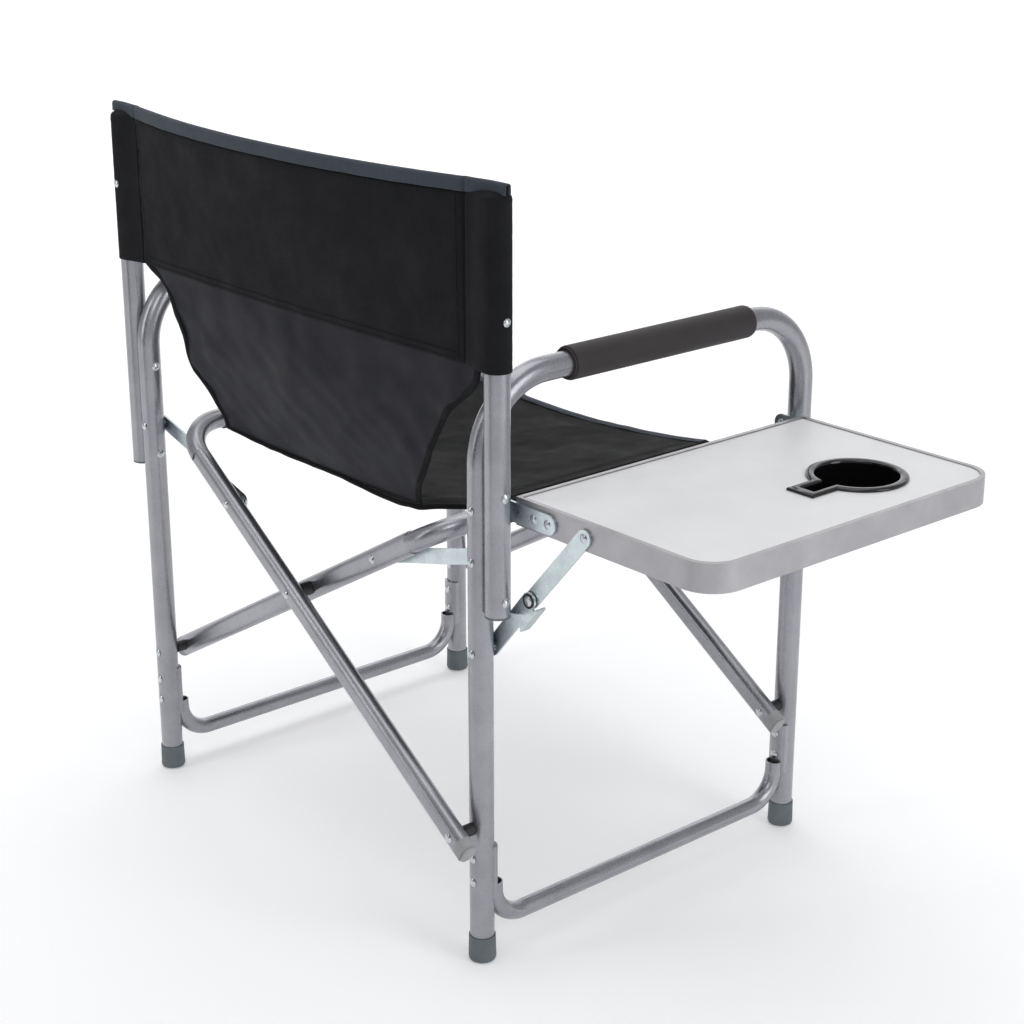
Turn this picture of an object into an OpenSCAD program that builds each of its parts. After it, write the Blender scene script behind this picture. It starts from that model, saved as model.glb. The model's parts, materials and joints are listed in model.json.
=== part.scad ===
// Folding director chair with a side table.
// Front faces -Y, the table hangs on the -X side, +Z is up, and the feet stand on Z = 0.
// "right" is the table side, which is also the sitter's right hand.

/* [Side frames] */
// Distance between the axes of the right and left legs
frame_w = 584; // [560:1:610]
// Distance between the axes of the rear and front legs
frame_d = 448; // [430:1:470]
// Height of the armrest tube's axis
arm_h = 607; // [590:1:630]
// Outer diameter of the side tubes and back uprights
tube_d = 25; // [24:0.5:26]
// Wall thickness of every tube
wall = 1.2; // [1:0.1:1.6]
// Bend radius between leg and armrest
arm_bend_r = 80; // [70:1:95]

/* [Feet and grips] */
// Largest diameter of a foot cap
cap_d = 28.4; // [27.8:0.1:31]
// Height of a foot cap
cap_h = 28; // [22:1:36]
// Outer diameter of the foam armrest grips
grip_d = 34; // [31:0.5:38]
// Rear end of the grips
grip_rear = 117; // [100:1:130]
// Front end of the grips
grip_front = -135; // [-140:1:-110]

/* [Stretchers] */
// Diameter of the lower stretcher tube
stretcher_d = 19; // [17:0.5:20]
// Height of the stretcher's axis
stretcher_h = 37; // [30:1:45]
// Bend radius of the stretcher
stretcher_bend_r = 38; // [30:1:42]
// Top of the flattened ends that saddle the legs
saddle_top = 128; // [124:1:134]

/* [Back] */
// Bottom of the back uprights
upright_low = 385; // [370:1:392]
// Top of the back uprights
upright_top = 785; // [760:1:786]
// Bottom edge of the sleeves of the back band
band_low = 624; // [615:1:640]
// Top edge of the binding flap
band_top = 798; // [796:1:806]
// How far the middle of the back band bows to the rear
band_bow = 22; // [10:1:26]

/* [Cross frames] */
// Height of the lower pivots
pivot_h = 151; // [148:1:156]
// Height of the seat rails
rail_h = 445; // [435:1:455]
// Seat rail's distance from the middle plane
rail_x = 228; // [222:1:232]
// Diameter of the seat rail tube
rail_d = 22; // [20:0.5:23]
// Width of the flattened cross legs
leg_w = 24.3; // [22:0.1:25]
// Thickness of the flattened cross legs
leg_t = 18; // [17:0.5:19]
// Distance between leg axis and cross leg axis at the lower pivot
pivot_gap = 34; // [32:0.5:36]
// Distance between the same axes at the crossing
crossing_gap = 16; // [15:0.5:18]
// Bend radius of the seat rails
rail_bend_r = 50; // [44:1:55]

/* [Links] */
// Height of the link rivet on the legs
link_h = 433; // [428:1:438]
// Link rivet's distance from the lower pivot, along the cross leg
link_s = 473.7; // [470:0.1:477]
// Width of the link bars
link_w = 16; // [14:1:18]
// Thickness of the flat steel bars
bar_t = 2.5; // [2:0.1:3]

/* [Table] */
// Height of the table's upper rim
table_top_h = 500; // [496:1:506]
// Height of the edge profile
table_edge_h = 28; // [24:1:30]
// Inner long side's distance from the leg axes
table_in = 29; // [26:1:32]
// Outer long side's distance from the leg axes
table_out = 283; // [270:1:300]
// Rear end of the table
table_rear = 204; // [202:0.5:204]
// Front end of the table
table_front = -196; // [-200:1:-190]
// Corner radius of the outer corners
table_r = 35; // [25:1:45]
// Height of the rivets that the table turns on
table_pivot_h = 485; // [482:1:488]
// Radius of the cup holder's bore
cup_r = 41; // [38:0.5:42]
// Depth of the cup holder below the rim
cup_depth = 50; // [40:1:52]

/* [Brace] */
// Brace rivet on the table, from the leg axis
brace_top_x = 125; // [120:1:130]
// Elbow rivet, from the leg axis
brace_elbow_x = 53.6; // [50:0.1:57]
// Height of the elbow rivet
brace_elbow_h = 403.4; // [400:0.1:406]
// Height of the brace rivet on the leg
brace_leg_h = 339; // [335:1:342]
// Width of the brace bars
brace_w = 17; // [15:1:18]

/* [Seat] */
// Front edge of the seat sleeves
seat_front = -155; // [-160:1:-140]
// Rear edge of the seat sleeves
seat_rear = 172; // [160:1:173]
// Rear edge of the seat between the rails
seat_tail = 198; // [190:1:202]
// Sag of the seat in the middle
seat_sag = 16; // [8:1:24]

/* [Hidden] */
$fn = 48;

leg_x = frame_w / 2;
leg_y = frame_d / 2;
tube_r = tube_d / 2;
flap_x = 334;
// the origin is under the middle of the whole object's box, table included
origin_x = (leg_x + table_out - flap_x) / 2;

fit = 0.05;
pin_r = 2.5;
bore_r = pin_r + fit;
head_r = 4.8;
head_h = 1.8;
flat_head_h = 1.1;
// keeps a rivet head clear of a cross leg's slanted face
head_lift = 0.32;
// keeps a spacer clear of the bar that turns beside it
spacer_gap = 0.3;
upright_x = leg_x + tube_d + 0.2;
upright_rivets_z = [504, 400];
stretcher_rivets_z = [117, 91];
saddle_in = tube_r + 0.1;
saddle_out = tube_r + 3.3;
screw_right_z = 672;
screw_left_z = 709;

// cross frames: s runs up the cross leg from the lower pivot
cross_angle = atan2(rail_h - pivot_h, leg_x + rail_x);
crossing_s = leg_x / cos(cross_angle);
rail_s = (leg_x + rail_x) / cos(cross_angle);
slant = (pivot_gap - crossing_gap) / crossing_s;
slant_angle = atan(slant);
tail_s = 11;
plug_s = 25;
crossing_h = pivot_h + crossing_s * sin(cross_angle);
link_x = link_s * cos(cross_angle) - leg_x;
link_tube_h = pivot_h + link_s * sin(cross_angle);

// planes of the flat bars, measured towards the rear at the rear legs
link_washer = 1;
link_leg_y = leg_y - tube_r - link_washer;
link_gap = 2.8;
link_far_y = leg_y + pivot_gap - slant * link_s - leg_t / 2 - link_gap;
link_near_y = leg_y - pivot_gap + slant * link_s - leg_t / 2 - link_gap;

edge_t = 9;
edge_wall = 3;
rim_w = 5;
panel_t = 6;
panel_low = table_top_h - 1.2 - panel_t;
bracket_w = 20;
bracket_t = 2.8;
bracket_end = 86.5;
bracket_rivets = [56.5, 76];
table_gap = 0.3;
cup_x = -488.6;
cup_y = -85.9;
cup_rim_r = 50;
cup_wall = 2;
slot_w = 17;
slot_rim_w = 33;
slot_end = 72;
slot_rim_end = 83;

sleeve_in = tube_r + 0.3;
sleeve_out = sleeve_in + 1.4;
seat_sleeve_in = rail_d / 2 + 0.3;
seat_sleeve_out = seat_sleeve_in + 1.4;

steel = [0.63, 0.63, 0.65];
zinc = [0.76, 0.82, 0.83];
slate = [0.37, 0.41, 0.43];
black = [0.12, 0.12, 0.13];

module placed() { translate([origin_x, 0, 0]) children(); }
module left_side() { mirror([1, 0, 0]) children(); }

// a straight tube along +Z from the origin
module pipe(d, h, t = wall) {
    difference() {
        cylinder(d = d, h = h);
        translate([0, 0, -1]) cylinder(d = d - 2 * t, h = h + 2);
    }
}

// a bent tube: part of a torus about Z, starting on +X
module bend(r, d, a) {
    rotate_extrude(angle = a, $fn = 96) translate([r, 0]) difference() {
        circle(d = d);
        circle(d = d - 2 * wall);
    }
}

// a rivet along +Y with a domed head at each end, between the planes y0 and y1
module rivet(y0, y1, h = head_h) {
    translate([0, y0, 0]) rotate([-90, 0, 0]) cylinder(r = pin_r, h = y1 - y0);
    translate([0, y1, 0]) rivet_head(h = h);
    translate([0, y0, 0]) rotate([180, 0, 0]) rivet_head(h = h);
}

// a domed head standing on the plane Y = 0, towards +Y
module rivet_head(r = head_r, h = head_h) {
    dome = (r * r + h * h) / (2 * h);
    rotate([-90, 0, 0]) intersection() {
        translate([0, 0, h - dome]) sphere(r = dome);
        cylinder(r = r + 1, h = h + 1);
    }
}

// a rivet with one domed head and a flat peened end
module flush_rivet(y0, y1) {
    translate([0, y0, 0]) rotate([-90, 0, 0]) cylinder(r = pin_r, h = y1 - y0);
    translate([0, y1, 0]) rivet_head();
}

module hole_y(x, z, y0, y1, r = bore_r) {
    translate([x, y0, z]) rotate([-90, 0, 0]) cylinder(r = r, h = y1 - y0);
}
module hole_x(x0, x1, y, z, r = bore_r) {
    translate([x0, y, z]) rotate([0, 90, 0]) cylinder(r = r, h = x1 - x0);
}

// ---- right side frame, and its mirror image on the left ----

module side_tube() {
    foot = 4.1;
    straight = arm_h - arm_bend_r - foot;
    for (side = [-1, 1]) {
        translate([0, side * leg_y, foot]) pipe(tube_d, straight);
    }
    translate([0, leg_y - arm_bend_r, arm_h - arm_bend_r]) rotate([90, 0, 90]) bend(arm_bend_r, tube_d, 90);
    mirror([0, 1, 0]) translate([0, leg_y - arm_bend_r, arm_h - arm_bend_r])
        rotate([90, 0, 90]) bend(arm_bend_r, tube_d, 90);
    translate([0, arm_bend_r - leg_y, arm_h]) rotate([-90, 0, 0]) pipe(tube_d, frame_d - 2 * arm_bend_r);
}

module side_holes(table_side) {
    heights = concat([link_h, pivot_h], stretcher_rivets_z, table_side ? [table_pivot_h, brace_leg_h] : []);
    for (z = heights) {
        hole_y(0, z, -leg_y - tube_d, leg_y + tube_d);
    }
    for (z = upright_rivets_z) {
        hole_x(-tube_d, tube_d, leg_y, z);
    }
}

module side_frame(table_side) {
    color(steel) translate([-leg_x, 0, 0]) difference() {
        side_tube();
        side_holes(table_side);
    }
}
module side_frame_right() { placed() side_frame(true); }
module side_frame_left() { placed() left_side() side_frame(false); }

// flattened end of the stretcher, curved round the leg
module saddle() {
    low = stretcher_h + stretcher_bend_r - 6;
    translate([0, 0, low]) difference() {
        intersection() {
            cylinder(r = saddle_out, h = saddle_top - low);
            translate([-11.5, -tube_d, -1]) cube([23, tube_d, saddle_top]);
        }
        translate([0, 0, -1]) cylinder(r = saddle_in, h = saddle_top);
    }
}

module stretcher_end() {
    bend_y = leg_y - 15 - stretcher_bend_r;
    difference() {
        union() {
            translate([0, leg_y, 0]) saddle();
            translate([0, bend_y, stretcher_h + stretcher_bend_r]) rotate([90, 0, 90])
                rotate([0, 0, -90]) bend(stretcher_bend_r, stretcher_d, 90);
            translate([0, bend_y + stretcher_bend_r, stretcher_h + stretcher_bend_r])
                pipe(stretcher_d, 8);
        }
        translate([0, leg_y, 0]) cylinder(r = saddle_in, h = saddle_top);
        for (z = stretcher_rivets_z) {
            hole_y(0, z, leg_y - tube_d, leg_y);
        }
    }
}

module stretcher() {
    run = leg_y - 15 - stretcher_bend_r;
    color(steel) translate([-leg_x, 0, 0]) {
        stretcher_end();
        mirror([0, 1, 0]) stretcher_end();
        translate([0, -run, stretcher_h]) rotate([-90, 0, 0]) pipe(stretcher_d, 2 * run);
    }
}
module stretcher_right() { placed() stretcher(); }
module stretcher_left() { placed() left_side() stretcher(); }

module foot_caps() {
    inner = tube_r + fit;
    color(slate) for (side = [-1, 1]) {
        translate([-leg_x, side * leg_y, 0]) rotate_extrude() polygon([[0, 0], [cap_d / 2 - 2.8, 0],
            [cap_d / 2 - 0.9, 0.9], [cap_d / 2, 3.2], [cap_d / 2 - 0.5, cap_h], [inner, cap_h], [inner, 4], [0, 4]]);
    }
}
module foot_caps_right() { placed() foot_caps(); }
module foot_caps_left() { placed() left_side() foot_caps(); }

// foam sleeve with a rounded front end and a stepped lip at the rear
module grip() {
    len = grip_rear - grip_front;
    r = grip_d / 2;
    inner = tube_r + fit;
    color([0.22, 0.19, 0.2]) translate([-leg_x, grip_rear, arm_h]) rotate([90, 0, 0]) rotate_extrude()
        polygon([[inner, 0], [r - 1.6, 0], [r - 1.6, 2], [r - 0.4, 2.4], [r, 4], [r, len - 4],
            [r - 0.7, len - 1.6], [r - 2.4, len - 0.3], [r - 3.4, len], [inner, len]]);
}
module grip_right() { placed() grip(); }
module grip_left() { placed() left_side() grip(); }

module back_upright() {
    color(steel) translate([-upright_x, leg_y, 0]) difference() {
        translate([0, 0, upright_low]) pipe(tube_d, upright_top - upright_low - 2);
        for (z = upright_rivets_z) {
            hole_x(-tube_d, tube_d, 0, z);
        }
    }
}
module back_upright_right() { placed() difference() { back_upright(); screw_right(fit); } }
module back_upright_left() { placed() difference() { left_side() back_upright(); screw_left(fit); } }

module upright_plugs() {
    color(slate) translate([-upright_x, leg_y, 0]) {
        translate([0, 0, upright_low - 2]) cylinder(d = tube_d, h = 2 - fit);
        translate([0, 0, upright_low - 1]) cylinder(r = tube_r - wall - fit, h = 12);
        translate([0, 0, upright_top - 2 + fit]) cylinder(d = tube_d, h = 2 - fit);
        translate([0, 0, upright_top - 14]) cylinder(r = tube_r - wall - fit, h = 13);
    }
}
module upright_plugs_right() { placed() upright_plugs(); }
module upright_plugs_left() { placed() left_side() upright_plugs(); }

// rivets that hold the upright and the stretcher to the side frame
module frame_rivets() {
    outer = upright_x - leg_x + tube_r;
    color(zinc) translate([-leg_x, 0, 0]) {
        for (z = upright_rivets_z) {
            translate([0, leg_y, z]) rotate([0, 0, 90]) rivet(-tube_r, outer);
        }
        for (z = stretcher_rivets_z) {
            translate([0, leg_y, z]) rivet(-saddle_out, tube_r);
            translate([0, -leg_y, z]) rivet(-tube_r, saddle_out);
        }
    }
}
module frame_rivets_right() { placed() frame_rivets(); }
module frame_rivets_left() { placed() left_side() frame_rivets(); }

// screws through the fabric sleeve into the upright
module screw_right(extra) {
    translate([-upright_x, leg_y, screw_right_z]) rotate([0, 0, 90]) screw(extra);
}
module screw_left(extra) {
    translate([upright_x, leg_y, screw_left_z]) screw(extra);
}
module screw(extra) {
    translate([0, tube_r - 6, 0]) rotate([-90, 0, 0]) cylinder(r = 1.8 + extra, h = sleeve_out - tube_r + 6);
    translate([0, sleeve_out, 0]) rivet_head(4.2);
}
module sleeve_screw_right() { placed() color(zinc) screw_right(0); }
module sleeve_screw_left() { placed() color(zinc) screw_left(0); }

// ---- cross frames: B is A turned half a turn about Z ----

// moves to the lower pivot's axis, with +X running up the cross leg
module along_cross() { translate([-leg_x, 0, pivot_h]) rotate([0, -cross_angle, 0]) children(); }
module other_way() { rotate([0, 0, 180]) children(); }
function cross_y(side, s) = side * leg_y + pivot_gap - slant * s;

module oval(w, t) {
    square([w - t, t], center = true);
    for (side = [-1, 1]) {
        translate([side * (w - t) / 2, 0]) circle(d = t);
    }
}

// flattened leg from the tail to the bend
module cross_leg(side, end_s) {
    len = (end_s + tail_s) / cos(slant_angle);
    translate([-tail_s, cross_y(side, -tail_s), 0]) rotate([0, 0, -slant_angle]) rotate([0, 90, 0])
        linear_extrude(height = len) difference() {
            oval(leg_w, leg_t);
            oval(leg_w - 2 * wall, leg_t - 2 * wall);
        }
}

module cross_tube() {
    turn_rear = 90 - slant_angle;
    turn_front = 90 + slant_angle;
    cut_rear = rail_bend_r * tan(turn_rear / 2);
    cut_front = rail_bend_r * tan(turn_front / 2);
    rear = cross_y(1, rail_s);
    front = cross_y(-1, rail_s);
    along_cross() {
        cross_leg(1, rail_s - cut_rear * cos(slant_angle));
        cross_leg(-1, rail_s - cut_front * cos(slant_angle));
        translate([rail_s - rail_bend_r, rear - cut_rear, 0]) bend(rail_bend_r, rail_d, turn_rear);
        translate([rail_s - rail_bend_r, front + cut_front, 0]) rotate([0, 0, -turn_front])
            bend(rail_bend_r, rail_d, turn_front);
        translate([rail_s, front + cut_front, 0]) rotate([-90, 0, 0])
            pipe(rail_d, rear - cut_rear - front - cut_front);
    }
}

module cross_frame() {
    reach = leg_y + 60;
    color(steel) difference() {
        cross_tube();
        hole_y(-leg_x, pivot_h, -reach, reach);
        hole_y(0, crossing_h, -reach, reach);
        hole_y(link_x, link_tube_h, -reach, reach);
    }
}
module cross_frame_a() { placed() cross_frame(); }
module cross_frame_b() { placed() other_way() cross_frame(); }

// plastic plugs that close the lower ends of the cross legs
module end_plugs() {
    color([0.55, 0.57, 0.58]) along_cross() for (side = [-1, 1]) {
        translate([-tail_s, cross_y(side, -tail_s), 0]) rotate([0, 0, -slant_angle]) rotate([0, -90, 0]) {
            translate([0, 0, fit]) linear_extrude(height = plug_s - tail_s - 2.5) oval(leg_w, leg_t);
            translate([0, 0, plug_s - tail_s - 2.5]) linear_extrude(height = 2.5) oval(leg_w - 3, leg_t - 3);
            translate([0, 0, -5]) linear_extrude(height = 6)
                oval(leg_w - 2 * wall - 2 * fit, leg_t - 2 * wall - 2 * fit);
        }
    }
}
module end_plugs_a() { placed() end_plugs(); }
module end_plugs_b() { placed() other_way() end_plugs(); }

// lower pivots: leg, bush, cross leg
module pivot_rivets() {
    color(zinc) translate([-leg_x, 0, pivot_h]) for (side = [-1, 1]) {
        rivet_from = side * leg_y - tube_r;
        rivet_to = side * leg_y + pivot_gap + leg_t / 2 + head_lift;
        rivet(rivet_from, rivet_to);
    }
}
module pivot_bushes() {
    from = tube_r + fit;
    to = pivot_gap - leg_t / 2 - 0.4;
    color(black) translate([-leg_x, 0, pivot_h]) for (side = [-1, 1]) {
        translate([0, side * leg_y + from, 0]) rotate([-90, 0, 0]) difference() {
            cylinder(r = 6.5, h = to - from);
            translate([0, 0, -1]) cylinder(r = bore_r, h = to);
        }
    }
}
module pivot_rivets_right() { placed() pivot_rivets(); }
module pivot_rivets_left() { placed() other_way() pivot_rivets(); }
module pivot_bushes_right() { placed() pivot_bushes(); }
module pivot_bushes_left() { placed() other_way() pivot_bushes(); }

module crossing_rivets() {
    reach = crossing_gap + leg_t / 2 + head_lift;
    placed() color(zinc) translate([0, 0, crossing_h]) for (side = [-1, 1]) {
        rivet(side * leg_y - reach, side * leg_y + reach);
    }
}
module crossing_bushes() {
    reach = crossing_gap - leg_t / 2 - 0.4;
    placed() color(black) translate([0, 0, crossing_h]) for (side = [-1, 1]) {
        translate([0, side * leg_y - reach, 0]) rotate([-90, 0, 0]) difference() {
            cylinder(r = 7.5, h = 2 * reach);
            translate([0, 0, -1]) cylinder(r = bore_r, h = 2 * reach + 2);
        }
    }
}

// ---- flat bars ----

// a flat bar with round ends from [x0, z0] to [x1, z1]; its rear faces lie at y0 and y1
// and the step between them runs from k0 to k1 along the bar
module flat_bar(x0, z0, x1, z1, y0, y1, w, t, k0 = 75, k1 = 150) {
    len = norm([x1 - x0, z1 - z0]);
    translate([x0, 0, z0]) rotate([0, -atan2(z1 - z0, x1 - x0), 0]) intersection() {
        translate([0, 0, -w]) linear_extrude(height = 2 * w) if (y0 == y1) {
            translate([-w, y0 - t]) square([len + 2 * w, t]);
        } else {
            polygon([[-w, y0 - t], [k0, y0 - t], [k1, y1 - t], [len + w, y1 - t],
                [len + w, y1], [k1, y1], [k0, y0], [-w, y0]]);
        }
        translate([0, leg_y * 2, 0]) rotate([90, 0, 0]) linear_extrude(height = leg_y * 4) {
            translate([0, -w / 2]) square([len, w]);
            circle(d = w);
            translate([len, 0]) circle(d = w);
        }
    }
}

// left links: the rear one steps back to cross leg A, the front one is its mirror image for A's front leg
module link_bar(leg_face, tube_face) {
    color(zinc) difference() {
        flat_bar(leg_x, link_h, link_x, link_tube_h, leg_face, tube_face, link_w, bar_t);
        hole_y(leg_x, link_h, leg_face - 20, leg_face + 20);
    }
}
module link_rear() { link_bar(link_leg_y, link_far_y); }
module link_front() { mirror([0, 1, 0]) link_bar(link_leg_y, link_near_y); }
module link_left_rear() { placed() link_rear(); }
module link_left_front() { placed() link_front(); }
module link_right_rear() { placed() other_way() link_front(); }
module link_right_front() { placed() other_way() link_rear(); }

// rivet through leg, washer and link, sunk flush with the link; it stays with the leg
module link_leg_rivets() {
    color(zinc) translate([leg_x, 0, link_h]) for (side = [0, 1]) {
        mirror([0, side, 0]) flush_rivet(link_leg_y - bar_t, leg_y + tube_r);
    }
}
module link_leg_rivets_left() { placed() link_leg_rivets(); }
module link_leg_rivets_right() { placed() other_way() link_leg_rivets(); }

// heads on the free end of the links
module link_tail_rivets() {
    color(zinc) translate([link_x, 0, link_tube_h]) {
        translate([0, link_far_y - bar_t, 0]) rotate([180, 0, 0]) rivet_head();
        translate([0, bar_t - link_near_y, 0]) rivet_head();
    }
}
module link_tail_rivets_left() { placed() link_tail_rivets(); }
module link_tail_rivets_right() { placed() other_way() link_tail_rivets(); }

// rivet and washer in the cross leg where the link's free end lies
module link_tube_rivets() {
    rear = cross_y(1, link_s);
    front = cross_y(-1, link_s);
    washer = link_gap - 0.7;
    pin_len = leg_t + washer + head_lift;
    color(zinc) translate([link_x, 0, link_tube_h]) {
        translate([0, rear - leg_t / 2 - washer, 0]) rotate([-90, 0, 0]) cylinder(r = pin_r, h = pin_len);
        translate([0, rear + leg_t / 2 + head_lift, 0]) rivet_head();
        translate([0, rear - leg_t / 2 - washer, 0]) rotate([-90, 0, 0]) cylinder(r = 6, h = washer - 0.6);
        translate([0, front - leg_t / 2 - head_lift, 0]) rotate([-90, 0, 0]) cylinder(r = pin_r, h = pin_len);
        translate([0, front - leg_t / 2 - head_lift, 0]) rotate([180, 0, 0]) rivet_head();
        translate([0, front + leg_t / 2 + 0.6, 0]) rotate([-90, 0, 0]) cylinder(r = 6, h = washer - 0.6);
    }
}
module link_tube_rivets_a() { placed() link_tube_rivets(); }
module link_tube_rivets_b() { placed() other_way() link_tube_rivets(); }

// ---- side table ----

// outline of the table with rounded outer corners, shrunk by a margin
module table_outline(m) {
    x0 = -leg_x - table_out + m;
    x1 = -leg_x - table_in;
    r = table_r - m;
    translate([x0 + r, table_front + m]) square([x1 - x0 - r, table_rear - table_front - 2 * m]);
    translate([x0, table_front + m + r]) square([r + 1, table_rear - table_front - 2 * m - 2 * r]);
    for (y = [table_front + m + r, table_rear - m - r]) {
        translate([x0 + r, y]) circle(r = r, $fn = 64);
    }
}

// bent aluminium edge on three sides, with a ledge for the panel
module table_edge() {
    low = table_top_h - table_edge_h;
    placed() color(steel) difference() {
        translate([0, 0, low]) linear_extrude(height = table_edge_h) table_outline(0);
        translate([0, 0, low - 1]) linear_extrude(height = table_edge_h + 2) table_outline(edge_t);
        translate([0, 0, low - 1]) linear_extrude(height = table_edge_h - 8.5) table_outline(edge_wall);
        translate([0, 0, panel_low - table_gap]) linear_extrude(height = table_edge_h) table_outline(rim_w);
        translate([-leg_x - table_in - edge_t, table_front + edge_wall, low - 1])
            cube([edge_t + 1, table_rear - table_front - 2 * edge_wall, table_edge_h + 2]);
        edge_holes();
    }
}
module edge_holes() {
    for (x = bracket_rivets) {
        hole_y(-leg_x - x, table_pivot_h, table_front - 5, table_rear + 5);
    }
    hole_y(-leg_x - brace_top_x, table_pivot_h, table_front - 5, table_rear + 5);
}

// straight profile along the chair side
module table_rail() {
    low = table_top_h - table_edge_h;
    inset = edge_wall + table_gap;
    run = table_rear - table_front;
    placed() color(steel) translate([-leg_x - table_in - edge_t + table_gap, table_front + inset, low]) difference() {
        cube([edge_t - table_gap, run - 2 * inset, table_edge_h]);
        translate([-1, -1, panel_low - low - table_gap]) cube([edge_t - rim_w + 1, run, table_edge_h]);
        translate([-1, -1, -1]) cube([edge_t - edge_wall + 1 - table_gap, run, table_edge_h - 8.5]);
    }
}

module table_top() {
    placed() color([0.88, 0.88, 0.89]) difference() {
        translate([0, 0, panel_low]) linear_extrude(height = panel_t) intersection() {
            table_outline(rim_w + table_gap);
            translate([-leg_x - table_out, table_front])
                square([table_out - table_in - rim_w - table_gap, table_rear - table_front]);
        }
        translate([0, 0, panel_low - 1]) linear_extrude(height = panel_t + 2) cup_shape(cup_r + cup_wall + 0.3, 0.3);
    }
}

// plan of the cup holder: a circle with a slot for a mug's handle towards the rear
module cup_shape(r, grow) {
    translate([cup_x, cup_y]) {
        circle(r = r, $fn = 64);
        translate([-slot_w / 2 - cup_wall - grow, 0]) square([slot_w + 2 * cup_wall + 2 * grow,
            slot_end + cup_wall + grow]);
    }
}

module cup_holder() {
    rim_low = table_top_h - 0.9;
    rim_h = 3.4;
    low = table_top_h - cup_depth;
    placed() color(black) difference() {
        union() {
            translate([0, 0, low]) linear_extrude(height = cup_depth) cup_shape(cup_r + cup_wall, 0);
            translate([cup_x, cup_y, rim_low]) linear_extrude(height = rim_h) {
                circle(r = cup_rim_r, $fn = 64);
                translate([-slot_rim_w / 2, 0]) square([slot_rim_w, slot_rim_end]);
            }
        }
        translate([cup_x, cup_y, low + cup_wall]) cylinder(r = cup_r, h = cup_depth + 5, $fn = 64);
        translate([cup_x - slot_w / 2, cup_y, low + cup_wall]) cube([slot_w, slot_end, cup_depth + 5]);
    }
}

// brackets: straight bars along the table's end edges, turning on the legs
module bracket(edge_y) {
    face = edge_y + bracket_t + table_gap;
    color(zinc) difference() {
        flat_bar(-leg_x - bracket_end + bracket_w / 2, table_pivot_h, -leg_x, table_pivot_h,
            face, face, bracket_w, bracket_t);
        for (x = concat([0], bracket_rivets)) {
            hole_y(-leg_x - x, table_pivot_h, face - 10, face + 10);
        }
    }
}
module bracket_rear() { placed() bracket(table_rear); }
module bracket_front() { placed() mirror([0, 1, 0]) bracket(-table_front); }

module table_rivets() {
    reach = bracket_t + table_gap;
    placed() color(zinc) translate([-leg_x, 0, table_pivot_h]) for (x = bracket_rivets) {
        translate([-x, 0, 0]) rivet(table_rear - edge_wall, table_rear + reach, flat_head_h);
        translate([-x, 0, 0]) rivet(table_front - reach, table_front + edge_wall, flat_head_h);
    }
}

// rivet, head and spacer between a bar's face and the leg
module spaced_rivet(face, t, headed = true) {
    from = face - t - 0.1;
    if (headed) {
        rivet(from, leg_y + tube_r);
    } else {
        flush_rivet(face - t, leg_y + tube_r);
    }
    translate([0, face + spacer_gap, 0]) rotate([-90, 0, 0])
        cylinder(r = 5.5, h = leg_y - tube_r - face - spacer_gap - 0.1);
}
module table_pivot_rivets() {
    placed() color(zinc) translate([-leg_x, 0, table_pivot_h]) {
        spaced_rivet(table_rear + table_gap + bracket_t, bracket_t);
        mirror([0, 1, 0]) spaced_rivet(table_gap + bracket_t - table_front, bracket_t);
    }
}

// ---- folding braces ----

brace_upper_y = table_rear + table_gap + bar_t;
brace_front_y = -table_front + table_gap + bar_t;
brace_lower_y = leg_y - tube_r - 1.2;
brace_lower_front_y = brace_front_y + 1 + bar_t;

module upper_bar(face) {
    difference() {
        flat_bar(-leg_x - brace_top_x, table_pivot_h, -leg_x - brace_elbow_x, brace_elbow_h,
            face, face, brace_w, bar_t);
        hole_y(-leg_x - brace_top_x, table_pivot_h, face - 10, face + 10);
        hole_y(-leg_x - brace_elbow_x, brace_elbow_h, face - 10, face + 10);
    }
}
module brace_upper_bars() {
    placed() color(zinc) {
        upper_bar(brace_upper_y);
        mirror([0, 1, 0]) upper_bar(brace_front_y);
    }
}

// lower bar with the finger tab that stops the elbow over centre
module lower_bar(face) {
    angle = atan2(brace_elbow_h - brace_leg_h, -brace_elbow_x);
    len = norm([brace_elbow_x, brace_elbow_h - brace_leg_h]);
    difference() {
        union() {
            flat_bar(-leg_x - brace_elbow_x, brace_elbow_h, -leg_x, brace_leg_h, face, face, brace_w, bar_t);
            translate([-leg_x, face, brace_leg_h]) rotate([0, -angle, 0])
                translate([len - 34, -bar_t, brace_w / 2 - 1]) {
                    translate([2, 0, 0]) cube([30, bar_t, 5]);
                    translate([0, -9, 4]) cube([36, 9 + bar_t, bar_t]);
                }
        }
        hole_y(-leg_x, brace_leg_h, face - 10, face + 10);
        hole_y(-leg_x - brace_elbow_x, brace_elbow_h, face - 10, face + 10);
    }
}
module brace_lower_bars() {
    placed() color(zinc) {
        lower_bar(brace_lower_y);
        mirror([0, 1, 0]) lower_bar(brace_lower_front_y);
    }
}
module brace_table_rivets() {
    placed() color(zinc) translate([-leg_x - brace_top_x, 0, table_pivot_h]) {
        rivet(table_rear - edge_wall, brace_upper_y + 0.1, flat_head_h);
        rivet(-brace_front_y - 0.1, table_front + edge_wall, flat_head_h);
    }
}

// elbow rivet: a head on the table side and a pin through both bars
module brace_elbow_rivets() {
    placed() color(zinc) translate([-leg_x - brace_elbow_x, 0, brace_elbow_h]) {
        elbow_rivet(brace_upper_y, brace_lower_y);
        mirror([0, 1, 0]) elbow_rivet(brace_front_y, brace_lower_front_y);
    }
}
module elbow_rivet(upper, lower) {
    from = upper - bar_t;
    translate([0, from, 0]) rotate([-90, 0, 0]) cylinder(r = pin_r, h = lower - from - 0.1);
    translate([0, from, 0]) rotate([180, 0, 0]) rivet_head(h = flat_head_h);
}

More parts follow.
